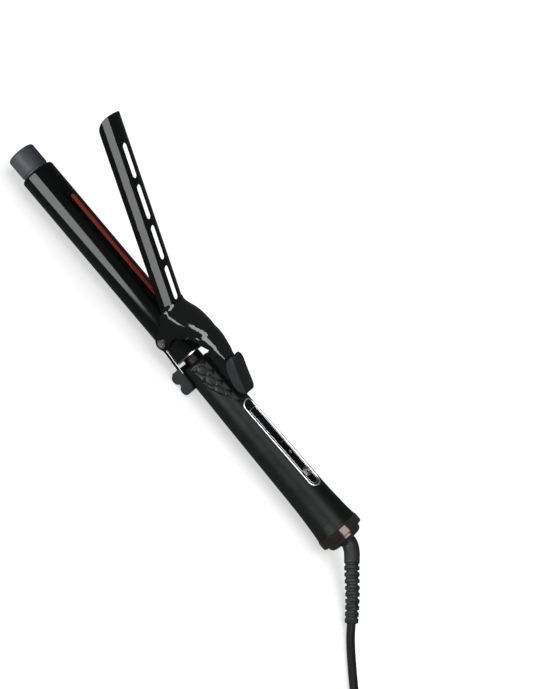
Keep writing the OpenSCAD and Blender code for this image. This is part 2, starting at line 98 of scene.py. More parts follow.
# ---- materials ----
def principled(name, color, roughness, metallic=0.0, **more):
    """A material, its node tree and its Principled shader, with constant values set on the sockets."""
    made = bpy.data.materials.new(name)
    made.use_nodes = True
    tree = made.node_tree
    shader = tree.nodes["Principled BSDF"]
    shader.inputs["Base Color"].default_value = (*color, 1)
    shader.inputs["Roughness"].default_value = roughness
    shader.inputs["Metallic"].default_value = metallic
    for key, value in more.items():
        shader.inputs[key.replace("_", " ")].default_value = value
    return made, tree, shader


def noise(tree, scale, detail=4.0, stretch=(1, 1, 1)):
    """Noise fixed to the object, as the node whose Fac output is used. Scale is per metre."""
    place = tree.nodes.new("ShaderNodeTexCoord")
    mapping = tree.nodes.new("ShaderNodeMapping")
    mapping.inputs["Scale"].default_value = stretch
    texture = tree.nodes.new("ShaderNodeTexNoise")
    texture.inputs["Scale"].default_value = scale
    texture.inputs["Detail"].default_value = detail
    tree.links.new(place.outputs["Object"], mapping.inputs["Vector"])
    tree.links.new(mapping.outputs["Vector"], texture.inputs["Vector"])
    return texture


def remap(tree, source, low, high):
    """A texture's middle range spread between two values."""
    node = tree.nodes.new("ShaderNodeMapRange")
    node.inputs["From Min"].default_value = 0.3
    node.inputs["From Max"].default_value = 0.7
    node.inputs["To Min"].default_value = low
    node.inputs["To Max"].default_value = high
    tree.links.new(source, node.inputs["Value"])
    return node.outputs["Result"]


def vary_color(tree, shader, texture, low, high):
    """Base colour between two shades by a texture."""
    ramp = tree.nodes.new("ShaderNodeValToRGB")
    ramp.color_ramp.elements[0].position = 0.3
    ramp.color_ramp.elements[1].position = 0.7
    ramp.color_ramp.elements[0].color = (*low, 1)
    ramp.color_ramp.elements[1].color = (*high, 1)
    tree.links.new(texture.outputs["Fac"], ramp.inputs["Fac"])
    tree.links.new(ramp.outputs["Color"], shader.inputs["Base Color"])


def bump(tree, shader, texture, strength, distance):
    """Relief from a texture; distance in metres."""
    node = tree.nodes.new("ShaderNodeBump")
    node.inputs["Strength"].default_value = strength
    node.inputs["Distance"].default_value = distance
    tree.links.new(texture.outputs["Fac"], node.inputs["Height"])
    tree.links.new(node.outputs["Normal"], shader.inputs["Normal"])


def shade(color, k):
    """A colour made darker or lighter by a factor."""
    return tuple(min(1.0, c * k) for c in color)


def lacquer(name, color, roughness=0.06):
    """Mirror-gloss coating: faint haze marks and a very slight variation in tone."""
    made, tree, shader = principled(name, color, roughness, Specular_IOR_Level=0.32)
    haze = noise(tree, 60, 5)
    spread = remap(tree, haze.outputs["Fac"], roughness * 0.7, roughness * 1.6)
    tree.links.new(spread, shader.inputs["Roughness"])
    vary_color(tree, shader, noise(tree, 25, 3), shade(color, 0.8), shade(color, 1.25))
    return made


def moulded(name, color, roughness=0.5, grain=900.0, depth=0.00003):
    """Injection-moulded plastic with fine spark grain."""
    made, tree, shader = principled(name, color, roughness, Specular_IOR_Level=0.35)
    grains = noise(tree, grain, 3)
    bump(tree, shader, grains, 0.35, depth)
    cloud = noise(tree, 70, 4)
    vary_color(tree, shader, cloud, shade(color, 0.88), shade(color, 1.12))
    spread = remap(tree, cloud.outputs["Fac"], roughness * 0.88, roughness * 1.12)
    tree.links.new(spread, shader.inputs["Roughness"])
    return made


def metal(name, color, roughness=0.2, brushed=0.0, stretch=(1, 1, 1)):
    """Bare or plated metal; brushed gives fine lines along the short axis of stretch."""
    made, tree, shader = principled(name, color, roughness, metallic=1.0)
    lines = noise(tree, 500 if brushed else 120, 3, stretch)
    low, high = roughness * (0.7 - 0.3 * brushed), roughness * (1.3 + 0.5 * brushed)
    tree.links.new(remap(tree, lines.outputs["Fac"], low, high), shader.inputs["Roughness"])
    vary_color(tree, shader, lines, shade(color, 0.93), shade(color, 1.05))
    if brushed:
        bump(tree, shader, lines, 0.2, 0.00002)
    return made


def infrared_glass():
    """Dark red quartz over a warm strip: brighter streaks along its length."""
    made, tree, shader = principled("infrared_glass", (0.4, 0.045, 0.02), 0.3)
    streaks = noise(tree, 90, 4, (0.25, 3, 3))
    vary_color(tree, shader, streaks, (0.32, 0.035, 0.015), (0.52, 0.07, 0.035))
    return made


def rubber(name, color, roughness=0.55):
    made, tree, shader = principled(name, color, roughness)
    bump(tree, shader, noise(tree, 700, 4), 0.3, 0.00004)
    vary_color(tree, shader, noise(tree, 110, 4), shade(color, 0.82), shade(color, 1.18))
    return made


BLACK = (0.004, 0.0056, 0.0048)
MATERIALS = {
    "barrel_coating": lacquer("barrel_coating", BLACK, 0.07),
    "clamp_lacquer": lacquer("clamp_lacquer", BLACK, 0.05),
    "infrared_glass": infrared_glass(),
    "bare_aluminium": metal("bare_aluminium", (0.8, 0.8, 0.8), 0.3),
    "heater_ceramic": moulded("heater_ceramic", (0.85, 0.84, 0.8), 0.6),
    "copper_parts": metal("copper_parts", (0.8, 0.42, 0.25), 0.28),
    "tip_plastic": moulded("tip_plastic", (0.056, 0.063, 0.072), 0.45),
    "collar_plastic": lacquer("collar_plastic", (0.006, 0.007, 0.0065), 0.09),
    "neck_steel": metal("neck_steel", (0.035, 0.029, 0.026), 0.4),
    "steel_strip": metal("steel_strip", (0.7, 0.7, 0.69), 0.22, 1.0, (0.1, 1, 1)),
    "screw_nickel": metal("screw_nickel", (0.78, 0.76, 0.72), 0.2),
    "pad_plastic": moulded("pad_plastic", (0.02, 0.026, 0.028), 0.5),
    "handle_plastic": moulded("handle_plastic", (0.006, 0.0078, 0.0076), 0.38, 1100, 0.00002),
    "chrome_trim": metal("chrome_trim", (0.95, 0.95, 0.95), 0.32),
    "panel_gloss": lacquer("panel_gloss", (0.006, 0.006, 0.007), 0.06),
    "display_glass": lacquer("display_glass", (0.012, 0.013, 0.018), 0.04),
    "board_green": moulded("board_green", (0.01, 0.12, 0.05), 0.4),
    "board_black": moulded("board_black", (0.02, 0.02, 0.022), 0.5),
    "wire_red": rubber("wire_red", (0.5, 0.03, 0.02), 0.45),
    "band_chrome": metal("band_chrome", (0.24, 0.18, 0.17), 0.1),
    "cap_chrome": metal("cap_chrome", (0.2, 0.2, 0.2), 0.18),
    "guard_rubber": rubber("guard_rubber", (0.026, 0.029, 0.034), 0.5),
    "cord_rubber": rubber("cord_rubber", (0.012, 0.012, 0.013), 0.45),
    "tie_plastic": moulded("tie_plastic", (0.02, 0.02, 0.021), 0.6),
    "plug_plastic": moulded("plug_plastic", (0.014, 0.014, 0.015), 0.42),
    "pin_brass": metal("pin_brass", (0.78, 0.76, 0.7), 0.22),
}


# ---- making pieces ----
def finish_mesh(mesh, sharp_degrees=35):
    for polygon in mesh.polygons:
        polygon.use_smooth = True
    mesh.set_sharp_from_angle(angle=math.radians(sharp_degrees))


def add_bevel(made, width, degrees=35):
    """Rounds every edge sharper than an angle; width in millimetres."""
    rounding = made.modifiers.new("edges", "BEVEL")
    rounding.width = width * MM
    rounding.segments = 3
    rounding.limit_method = "ANGLE"
    rounding.angle_limit = math.radians(degrees)
    rounding.harden_normals = True


def piece(name, verts, faces, slot, body, replaces=(), matrix=IRON, thick=0.0, bevel=0.0, smooth_levels=0):
    """A mesh from points in millimetres, in the iron's or the clamp's own frame, riding on a body."""
    mesh = bpy.data.meshes.new(name)
    mesh.from_pydata([matrix @ Vector(v) for v in verts], [], faces)
    mesh.validate()
    work = bmesh.new()
    work.from_mesh(mesh)
    bmesh.ops.remove_doubles(work, verts=work.verts, dist=1e-6)
    bmesh.ops.recalc_face_normals(work, faces=work.faces)
    work.to_mesh(mesh)
    work.free()
    made = bpy.data.objects.new(name, mesh)
    bpy.context.scene.collection.objects.link(made)
    if thick:
        wall = made.modifiers.new("wall", "SOLIDIFY")
        wall.thickness = thick * MM
        wall.offset = -1
    if bevel:
        add_bevel(made, bevel)
    if smooth_levels:
        rounding = made.modifiers.new("rounding", "SUBSURF")
        rounding.levels = smooth_levels
        rounding.render_levels = smooth_levels
        finish_mesh(mesh, 180)
    else:
        finish_mesh(mesh)
    mesh.materials.append(MATERIALS[slot])
    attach(made, body)
    if replaces:
        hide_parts(*replaces)
    return made


def blend_in(t):
    """Smooth step from 0 to 1."""
    t = max(0.0, min(1.0, t))
    return t * t * (3 - 2 * t)


def mix(a, b, t):
    return a + (b - a) * t


def at(pairs, x):
    """Value of a broken line, given as (x, value) pairs, at x."""
    for (x0, v0), (x1, v1) in zip(pairs, pairs[1:]):
        if x <= x1:
            return mix(v0, v1, max(0.0, (x - x0) / (x1 - x0)))
    return pairs[-1][1]


def through(points, steps=6):
    """A smooth line through points, with steps between each two (Catmull-Rom)."""
    points = [Vector(p) for p in points]
    ends = [2 * points[0] - points[1], *points, 2 * points[-1] - points[-2]]
    line = []
    for i in range(1, len(ends) - 2):
        a, b, c, d = ends[i - 1:i + 3]
        for k in range(steps):
            t = k / steps
            line.append(0.5 * (
                2 * b + (c - a) * t + (2 * a - 5 * b + 4 * c - d) * t * t
                + (3 * b - a - 3 * c + d) * t ** 3
            ))
    line.append(points[-1])
    return line


def skin(rows, closed=False, capped=False):
    """Vertices and faces of a surface through rows of points; closed joins the ends of each row."""
    width = len(rows[0])
    verts = [point for row in rows for point in row]
    faces = []
    for i in range(len(rows) - 1):
        for k in range(width if closed else width - 1):
            after = (k + 1) % width
            faces.append((i * width + k, i * width + after, (i + 1) * width + after, (i + 1) * width + k))
    if capped:
        faces.append(tuple(range(width)))
        faces.append(tuple(range(len(verts) - width, len(verts))))
    return verts, faces


def mirrored(row):
    """A row that ends on the middle plane, carried on to its mirror image."""
    return row + [(x, -y, z) for x, y, z in reversed(row[:-1])]


def lathe(profile, sides=96):
    """A closed outline of (x, radius) points turned about the iron's axis."""
    rows = []
    for x, radius in [*profile, profile[0]]:
        turn = (2 * math.pi * k / sides for k in range(sides))
        rows.append([(x, radius * math.cos(a), radius * math.sin(a)) for a in turn])
    return skin(rows, closed=True)


def tube(points, radius, sides=10, closed=False):
    """A round bead along points; radius may be a function of the point's number and the angle round it."""
    points = [Vector(p) for p in points]
    count = len(points)
    rows = []
    for i, here in enumerate(points):
        before = points[(i - 1) % count] if closed or i else here
        after = points[(i + 1) % count] if closed or i < count - 1 else here
        forward = (after - before).normalized()
        side = forward.cross(Vector((0, 0, 1))).normalized()
        up = side.cross(forward)
        row = []
        for k in range(sides):
            a = 2 * math.pi * k / sides
            r = radius(i, a) if callable(radius) else radius
            row.append(here + r * (math.cos(a) * side + math.sin(a) * up))
        rows.append(row)
    if closed:
        rows.append(rows[0])
    return skin(rows, closed=True, capped=not closed)


def joined(parts):
    """Several (vertices, faces) lists as one."""
    verts, faces = [], []
    for part_verts, part_faces in parts:
        start = len(verts)
        verts += list(part_verts)
        faces += [tuple(start + k for k in face) for face in part_faces]
    return verts, faces


def paint_nodes():
    """Every CAD node that is still shown gets its slot's material."""
    for row in frame["record"]["subparts"]:
        node = NODES[row["node"]]
        node.data.materials.clear()
        node.data.materials.append(MATERIALS[row["material_slot"]])


# ---- cord ----
CORD_D = 6.0
LEAD = [
    (229, -37.6, -11.4), (234, -43.8, -12.7), (239.6, -50.4, -13.4), (246, -57.8, -13.6),
    (252.6, -65.3, -13.6), (259.5, -72.9, -13.6), (267.4, -81.4, -13.6), (276.8, -89.4, -13.6),
    (287.6, -96.2, -13.6), (299.6, -101.6, -13.6), (312.4, -105.4, -13.6), (325.5, -107.5, -13.6),
    (338.7, -108, -13.6),
]
TAIL = [
    (338.7, -108, 4.4), (347, -108.3, 4.2), (355, -109, 3), (363, -110, 0.4), (371, -110.8, -3.6),
    (379, -110.8, -7.8), (387, -109.4, -11.2), (395, -106, -13.2), (402.4, -100.4, -13.6),
    (408, -93, -13.5), (411.4, -84.4, -12.4), (412.4, -75, -10.6), (412.4, -70, -9.7),
]
COIL_CENTRE = (340, -70)
COIL_MEAN_R = 32.0
COIL_COLUMNS, COIL_LAYERS = 3, 4
COIL_START = math.radians(-92)
MOVE_OVER = 0.5  # part of each turn after which the cord moves over to its next seat
FLOOR_Z = -16.6


def coil_turns(per_turn=40):
    """Turns from the bottom layer's outer column up to the top layer, back and forth across the columns."""
    seats = []
    for layer in range(COIL_LAYERS):
        columns = range(COIL_COLUMNS)
        for column in (reversed(columns) if layer % 2 == 0 else columns):
            seats.append(Vector((
                COIL_MEAN_R + (column - (COIL_COLUMNS - 1) / 2) * CORD_D,
                FLOOR_Z + CORD_D * (layer + 0.5),
            )))
    line = []
    for i in range(len(seats) * per_turn):
        turn, part = divmod(i / per_turn, 1)
        here = seats[int(turn)]
        after = seats[min(int(turn) + 1, len(seats) - 1)]
        radius, height = here.lerp(after, blend_in((part - MOVE_OVER) / (1 - MOVE_OVER)))
        angle = COIL_START + part * 2 * math.pi
        line.append(Vector((
            COIL_CENTRE[0] + radius * math.cos(angle),
            COIL_CENTRE[1] + radius * math.sin(angle),
            height,
        )))
    return line


def add_cord():
    route = through(LEAD)[:-1] + coil_turns()[1:-1] + through(TAIL)[1:]
    route = [IRON @ p for p in route]
    data = bpy.data.curves.new("mains_cord", "CURVE")
    data.dimensions = "3D"
    data.bevel_depth = CORD_D / 2 * MM
    data.bevel_resolution = 4
    spline = data.splines.new("POLY")
    spline.points.add(len(route) - 1)
    for point, place in zip(spline.points, route):
        point.co = (*place, 1)
    spline.use_smooth = True
    data.materials.append(MATERIALS["cord_rubber"])
    made = bpy.data.objects.new("mains_cord", data)
    bpy.context.scene.collection.objects.link(made)
    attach(made, "swivel")
    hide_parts("cord", "cord_coil")
    length = sum((b - a).length for a, b in zip(route, route[1:]))
    print(f"cord route {length:.3f} m")
    return made


# ---- clamp ----
# Ribs of the lever in its side view, each from its lower edge over a foot to the crest, as (x, z)
# with the clamp closed. The edge runs back along the skirt, round the ear and up under the arch.
LEVER_RIBS = [
    ((-24.8, 8.2), (-25.0, 11), (-24.6, 14.45)), ((-21, 6.6), (-22.5, 11), (-22.4, 15.2)),
    ((-17, 4.7), (-20, 11), (-20, 17.3)), ((-13.5, 2.9), (-17.5, 11), (-17.7, 20.1)),
    ((-10, 0.9), (-15, 11), (-15.4, 22.9)), ((-6.8, -1.3), (-12.6, 11), (-13.2, 25.3)),
    ((-4.4, -3.3), (-10.6, 11), (-11.2, 27.3)), ((-2.2, -5.0), (-9, 11), (-9.5, 28.9)),
    ((0.6, -5.5), (-7.6, 11), (-8, 30.1)), ((3.3, -4.4), (-6.4, 11), (-6.7, 31.2)),
    ((5.1, -2.1), (-5.4, 11), (-5.5, 32.1)), ((5.5, 0.8), (-4.6, 11), (-4.4, 32.9)),
    ((4.2, 3.6), (-3.9, 11), (-3.4, 33.5)), ((1.6, 6.3), (-3.4, 11.1), (-2.4, 34.1)),
    ((-1.0, 8.9), (-3.2, 11.4), (-1.4, 34.6)), ((-3.0, 12.8), (-3.1, 13.4), (-0.4, 35.1)),
    ((-3.1, 16), (-3.1, 16.6), (0.7, 35.6)), ((-2.6, 19.5), (-2.5, 20), (2.1, 36.3)),
    ((-0.9, 23), (-0.8, 23.4), (4.1, 37.1)), ((3.3, 26.8), (3.5, 27.3), (7, 38.2)),
    ((7.8, 31.7), (8.1, 32.2), (10.6, 39.3)), ((11.8, 36.3), (12, 36.7), (14, 40.4)),
    ((16, 38.9), (16.2, 39.2), (17.6, 41.4)), ((20.4, 40.5), (20.5, 40.7), (21.6, 42.3)),
    ((30, 41.9), (30, 42.1), (30.6, 43.6)), ((43.6, 43.6), (43.6, 43.8), (43.6, 45.5)),
]
LEVER_WIDTHS = [
    (-10, 14.7), (11, 14.7), (16, 14), (22, 12.8), (28, 11.4), (34, 9.8), (38, 8), (41, 5.2), (50, 5.2),
]
LEVER_FRONT_R = 14.55
SHEET = 1.3
BLADE_R = 14.0
BLADE_SPAN = math.radians(62.5)
BLADE_T = 1.2
BLADE_NOSE, NOSE_L, BLADE_END = -160.5, 11.0, -9.0
NOSE_POWER = 2.7  # 2 gives an elliptic nose, more a squarer one
SLOT_START, SLOT_L, SLOT_PITCH, SLOT_HALF = -139.6, 25.0, 29.5, 2.7
SLOTS = 4


def lever_half_width(point, edge, crest):
    """Half-width of the lever at a point of its side view, on the rib from an edge to a crest point."""
    crown = mix(9.5, 2.0, blend_in((crest.x - 4) / 18))
    depth = min(1.0, (crest - point).length / crown)
    height = mix(point.y, edge.y, blend_in((crest.x - 1) / 9))
    boxed = at(LEVER_WIDTHS, height) * math.sqrt(1 - (1 - depth) ** 2)
    round_barrel = LEVER_FRONT_R * math.sqrt(max(0.0, 1 - (max(0.0, point.y) / crest.y) ** 2))
    return mix(round_barrel, boxed, blend_in((crest.x + 24.6) / 13))


def formed_lever():
    """Bonnet, ears, arch and thumb arm, pressed from one sheet."""
    edges, feet, crests = (through(line) for line in zip(*LEVER_RIBS))
    rows = []
    for edge, foot, crest in zip(edges, feet, crests):
        side = [edge.lerp(foot, k / 6) for k in range(6)]
        side += [foot.lerp(crest, math.sin(k / 16 * math.pi / 2)) for k in range(17)]
        rows.append(mirrored([(p.x, -lever_half_width(p, edge, crest), p.y) for p in side]))
    return piece(
        "formed_lever", *skin(rows), "clamp_lacquer", "clamp", ["clamp_lever"], CLAMP, thick=SHEET, bevel=0.3,
    )


def slot_edge(x):
    """Half-width of the vent slot at x, or 0 between slots."""
    for i in range(SLOTS):
        start = SLOT_START + i * SLOT_PITCH
        reach = min(x - start, start + SLOT_L - x, SLOT_HALF)
        if reach > 0:
            return math.sqrt(SLOT_HALF ** 2 - (SLOT_HALF - reach) ** 2)
    return 0.0


def vented_blade():
    """Curved spring-steel blade with a round nose and a row of vent slots."""
    arc = [1 - math.cos(k / 14 * math.pi / 2) for k in range(15)]
    stations = [BLADE_NOSE + NOSE_L * t for t in arc]
    for i in range(SLOTS):
        start = SLOT_START + i * SLOT_PITCH
        stations += [start + SLOT_HALF * t for t in arc]
        stations += [start + SLOT_L - SLOT_HALF * t for t in arc]
        stations += [start + SLOT_L * t for t in (0.25, 0.5, 0.75)]
    stations += [-145.5, -28, -20, -14, BLADE_END]
    rows = []
    for x in sorted(stations):
        into_nose = max(0.0, BLADE_NOSE + NOSE_L - x) / NOSE_L
        outer = BLADE_SPAN * math.sqrt(max(0.0, 1 - into_nose ** NOSE_POWER))
        inner = math.asin(slot_edge(x) / BLADE_R)
        turn = [mix(outer, inner, k / 18) for k in range(19)]
        rows.append([(x, -BLADE_R * math.sin(a), BLADE_R * math.cos(a)) for a in turn])
    far = [[(x, -y, z) for x, y, z in row] for row in rows]
    verts, faces = joined([skin(rows), skin(far)])
    return piece(
        "vented_blade", verts, faces, "clamp_lacquer", "clamp", ["clamp_blade"], CLAMP,
        thick=BLADE_T, bevel=0.3,
    )


# Lower edge of the web in its side view
LINER_LINE = [
    (11.3, 31), (11.9, 29.1), (13.4, 28.4), (15.4, 28.9), (19.6, 30.8), (24.3, 32.6),
    (28.5, 34.4), (33, 37), (35.6, 39.9),
]
LINER_TOP = [(11, 36.6), (20, 41), (44, 43.9)]
LINER_HALF = 6.2


def web_under_arm():
    """Smooth moulded web between the arch and the thumb pad, with rounded lower edges."""
    rows = []
    for low in through(LINER_LINE, 3):
        top = at(LINER_TOP, low.x)
        side = [(0, 0), (0.62, 0), (0.86, 0.25), (0.97, 0.75), (1, 1.5)]
        row = [(low.x, -LINER_HALF * across, min(top, low.y + up)) for across, up in side]
        row.append((low.x, -LINER_HALF, top))
        row.append((low.x, 0, top))
        rows.append(mirrored(row[::-1])[:-1])
    verts, faces = skin(rows, closed=True, capped=True)
    return piece("web_under_arm", verts, faces, "collar_plastic", "clamp", ["arm_liner"], CLAMP)


# Stations of the thumb pad: bottom (x, z), top edge (x, z), half-width, depth of the hollow
PAD_STATIONS = [
    ((21.6, 41.6), (18.4, 47.4), 2.8, 0.0), ((20.9, 41.2), (17.8, 48.3), 4.6, 0.0),
    ((21.2, 40.8), (18.1, 49.0), 5.7, 0.1), ((22.6, 40.4), (19.7, 49.0), 6.3, 0.6),
    ((25.0, 40.0), (22.6, 48.4), 6.5, 1.2), ((29.1, 39.8), (27.6, 48.5), 6.5, 1.6),
    ((33.6, 40.1), (33.6, 48.9), 6.5, 1.7), ((38.6, 40.8), (39.6, 49.5), 6.4, 1.5),
    ((42.8, 42.1), (43.6, 50.0), 5.9, 1.1), ((45.4, 44.3), (45.6, 49.5), 5.0, 0.6),
    ((46.3, 45.9), (46.5, 48.3), 3.6, 0.2),
]


def thumb_rest():
    """Moulded pad over the end of the lever, hollowed for the thumb and curled up at its front."""
    rows = []
    for low, high, half, hollow in PAD_STATIONS:
        low, high = Vector(low), Vector(high)
        drop = 3.4 * blend_in((24.5 - low.x) / 4)
        around = [(0, 0), (0.55, 0), (0.93, 0), (1, 0.1), (1, 0.5), (1, 0.88), (0.93, 1)]
        side = []
        for across, up in around:
            spot = low.lerp(high, up)
            side.append((spot.x, across * half, spot.y - drop * up * across ** 2))
        for across in (0.7, 0.4, 0):
            dip = hollow * math.cos(across * math.pi / 2) + drop * across ** 2
            side.append((high.x, across * half, high.y - dip))
        rows.append(side + [(x, -y, z) for x, y, z in reversed(side[1:-1])])
    verts, faces = skin(rows, closed=True, capped=True)
    return piece("thumb_rest", verts, faces, "pad_plastic", "clamp", ["thumb_pad"], CLAMP, smooth_levels=2)


# ---- stand ----
STRIP_IN, STRIP_OUT = 12.25, 13.1
STRIP_LOW, STRIP_HIGH = -5.4, -2.4
STRIP_SLOPE = -0.1
STRIP_END = 30
EYE_HOLE, EYE_R = 2.1, 5.6


def stand_arms():
    """Two flat strips, each with an eye on a pivot screw, and their rolled edges; the flat faces are black as
    painted shade standing in for a dark reflection on one steel strip, and the rolled edges are bright steel
    where its highlight lines run.
    """
    middle = (STRIP_IN + STRIP_OUT) / 2
    web = 0.2
    roll = 0.34
    strips, edges = [], []
    for side in (-1, 1):
        for z in (STRIP_LOW, STRIP_HIGH):
            line = [(x, side * (middle + 0.1), z + STRIP_SLOPE * x) for x in (0.5, 12, 22, STRIP_END)]
            edges.append(tube(line, roll, 12))
        inner, outer = middle - web, middle + web
        corners = [(inner, STRIP_LOW), (outer, STRIP_LOW), (outer, STRIP_HIGH), (inner, STRIP_HIGH)]
        rows = [[(x, side * y, z + STRIP_SLOPE * x) for y, z in corners] for x in (0, STRIP_END)]
        strips.append(skin(rows, closed=True, capped=True))
        ring = []
        section = [
            (EYE_HOLE, STRIP_IN), (EYE_R, STRIP_IN), (EYE_R, STRIP_OUT), (EYE_HOLE, STRIP_OUT),
            (EYE_HOLE, STRIP_IN),
        ]
        for radius, y in section:
            turn = [2 * math.pi * k / 48 for k in range(48)]
            ring.append([(radius * math.cos(a), side * y, radius * math.sin(a)) for a in turn])
        strips.append(skin(ring, closed=True))
    # Black lacquer on the strip's flat face is painted shade: the steel is darkened between its bright edge
    # beads so it shows dark instead of mirroring the floor.
    piece("stand_arms", *joined(strips), "clamp_lacquer", "stand", ["stand_bracket"], bevel=0.12)
    piece("stand_rails", *joined(edges), "steel_strip", "stand")


def stand_feet():
    """Rubbery foot with two lobes, saddled to the handle's underside."""
    outline = [(20.5, -7), (20.4, -12.6)]
    for x, z, r, first, last in ((25.2, -12.7, 3.9, 190, 351), (34.6, -12.8, 3.8, 196, 361)):
        turn = [math.radians(degrees) for degrees in range(first, last, 16)]
        outline += [(x + r * math.cos(a), z + r * math.sin(a)) for a in turn]
    outline += [(38.2, -10), (36.4, -6), (33.8, -4.6), (21.5, -4.6)]
    saddle, half = 12.5, 13.7
    rows = []
    for k in range(-16, 17):
        y = half * math.sin(k / 16 * math.pi / 2)
        roof = -math.sqrt(max(0.0, saddle ** 2 - y * y)) - 0.05
        rows.append([(x, y, min(z, max(roof, -13.4))) for x, z in outline])
    verts, faces = skin(rows, closed=True, capped=True)
    return piece("stand_feet", verts, faces, "pad_plastic", "stand", ["stand_foot"], bevel=0.5)


# ---- handle ----
HANDLE_PROFILE = [
    (27.6, 12), (40, 12.1), (60, 12.5), (85, 12.95), (110, 13.35), (135, 13.75), (150, 14.1),
    (161, 14.7), (168, 15.2), (174.8, 15.95),
]
PANEL_START, PANEL_END, PANEL_HALF = 66.5, 143.0, 5.1
BUTTONS = {"minus_key": 104.5, "plus_key": 113.5, "power_key": 131.2}


def on_handle(x, y, lift=0.0):
    """Point on the top of the handle, lifted off its surface."""
    r = at(HANDLE_PROFILE, x) + lift
    return (x, y, math.sqrt(r * r - y * y))


def oblong(x0, x1, half, turns=16):
    """Closed outline with round ends."""
    ends = [(x0 + half, math.pi / 2), (x1 - half, -math.pi / 2)]
    line = []
    for centre, start in ends:
        turn = [start + math.pi * k / turns for k in range(turns + 1)]
        line += [(centre + half * math.cos(a), half * math.sin(a)) for a in turn]
    return line


def long_oblong(x0, x1, half, lift):
    """An oblong laid on the handle, with points along its straight sides too."""
    line = []
    outline = oblong(x0, x1, half)
    for (ax, ay), (bx, by) in zip(outline, outline[1:] + outline[:1]):
        steps = max(1, round(math.hypot(bx - ax, by - ay) / 4))
        line += [on_handle(mix(ax, bx, k / steps), mix(ay, by, k / steps), lift) for k in range(steps)]
    return line


def grip_scales():
    """Raised wavy scales round the front of the handle, narrowing towards the panel."""
    start, end = 26.2, 73.0
    pitch_x, pitch_around = 9.2, 7.2
    columns, stations = 150, 130
    rows = []
    for i in range(stations + 1):
        x = mix(start, end, i / stations)
        front = 12 - max(0.0, 27.6 - x) * 0.35
        base = at(HANDLE_PROFILE, x) if x > 27.6 else front
        reach = math.radians(mix(84, 14, blend_in((x - 36) / 40)))
        row = []
        for k in range(columns + 1):
            spot = mix(-1, 1, k / columns)
            a = spot * reach
            u, v = x / pitch_x, a * base / pitch_around
            wave = 0.10 * math.sin(2 * math.pi * u)
            scale = abs(math.cos(math.pi * (u + v + wave)) * math.cos(math.pi * (u - v + wave)))
            fades = ((x - start) / 3, (end - x) / 8, (1 - abs(spot)) / 0.16)
            edge = min(blend_in(t) for t in fades)
            lift = -0.12 + edge * (0.16 + 0.62 * scale ** 0.55)
            r = base + lift
            row.append((x, -r * math.sin(a), r * math.cos(a)))
        rows.append(row)
    return piece("grip_scales", *skin(rows), "handle_plastic", "iron")


def panel_bead():
    """Bright rounded rim round the control panel."""
    verts, faces = tube(long_oblong(PANEL_START, PANEL_END, PANEL_HALF, -0.1), 0.72, 12, closed=True)
    return piece("panel_bead", verts, faces, "chrome_trim", "iron", ["panel_trim_ring"])


def panel_lines():
    """Fine frame inside the panel: square behind the panel's blank front end, round at the rear."""
    front, rear, half = 74.0, PANEL_END - 1.9, 3.5
    turns = 16
    outline = [(front, half * (1 - k / 8)) for k in range(17)]
    outline += [(mix(front, rear - half, k / 20), -half) for k in range(1, 20)]
    outline += [
        (rear - half + half * math.cos(a), half * math.sin(a))
        for a in (math.pi * (k / turns - 0.5) for k in range(turns + 1))
    ]
    outline += [(mix(rear - half, front, k / 20), half) for k in range(1, 20)]
    verts, faces = tube([on_handle(x, y, -0.32) for x, y in outline], 0.2, 8, closed=True)
    return piece("panel_lines", verts, faces, "chrome_trim", "iron")


def button_marks():
    """Minus, plus and power marks, each on its own button."""
    sunk = -0.06

    def across(x, y0, y1, dx0=0.0, dx1=0.0):
        steps = [k / 6 for k in range(7)]
        return tube([on_handle(x + mix(dx0, dx1, t), mix(y0, y1, t), sunk) for t in steps], 0.16, 8)

    def circle(x, r, gap=0.0):
        turn = [mix(gap, 2 * math.pi - gap, k / 40) for k in range(40 if gap == 0 else 41)]
        ring = [on_handle(x - r * math.cos(a), r * math.sin(a), sunk) for a in turn]
        return tube(ring, 0.15, 8, closed=gap == 0)

    minus, plus, power = BUTTONS.values()
    power_parts = [circle(power, 3.2), circle(power, 2.3), circle(power, 1.4, 0.5)]
    power_parts.append(across(power, 0, 0, -1.7, -0.2))
    marks = {
        "minus_key": [across(minus, -1.2, 1.2)],
        "plus_key": [across(plus, -1.2, 1.2), across(plus, 0, 0, -1.2, 1.2)],
        "power_key": power_parts,
    }
    for body, parts in marks.items():
        piece(body.replace("_key", "_mark"), *joined(parts), "chrome_trim", body)


# ---- barrel ends ----
def rounded_tip():
    """Cool tip with a softly domed end and a shallow step where it enters the barrel."""
    end, base, r, dome = -166.0, -147.0, 10.3, 2.6
    profile = [(base, 0), (end, 0)]
    profile += [(end + 0.25, r - dome - 1.5), (end + 0.6, r - dome)]
    for a in (k / 10 * math.pi / 2 for k in range(1, 11)):
        profile.append((end + dome - (dome - 0.6) * math.cos(a), r - dome + dome * math.sin(a)))
    profile += [(-149.6, r), (-149.2, r - 0.35), (base - 0.6, r - 0.35), (base, r - 0.4)]
    return piece("rounded_tip", *lathe(profile), "tip_plastic", "iron", ["cool_tip"])


# ---- cord guard, plug ----
GUARD_ROUTE = [
    (186, 0, 0), (188.4, 0, 0), (191.4, -1, -0.3), (195, -3.6, -0.9), (199, -7.4, -2.2),
    (203.2, -11.4, -3.6), (207.4, -15.2, -4.9), (211.5, -18.8, -6.2), (215.4, -22.4, -7.4),
    (219.2, -26.2, -8.6), (222.9, -30.2, -9.7), (226.4, -34.4, -10.7), (229, -37.6, -11.4),
]
RIB_PITCH = 4.6


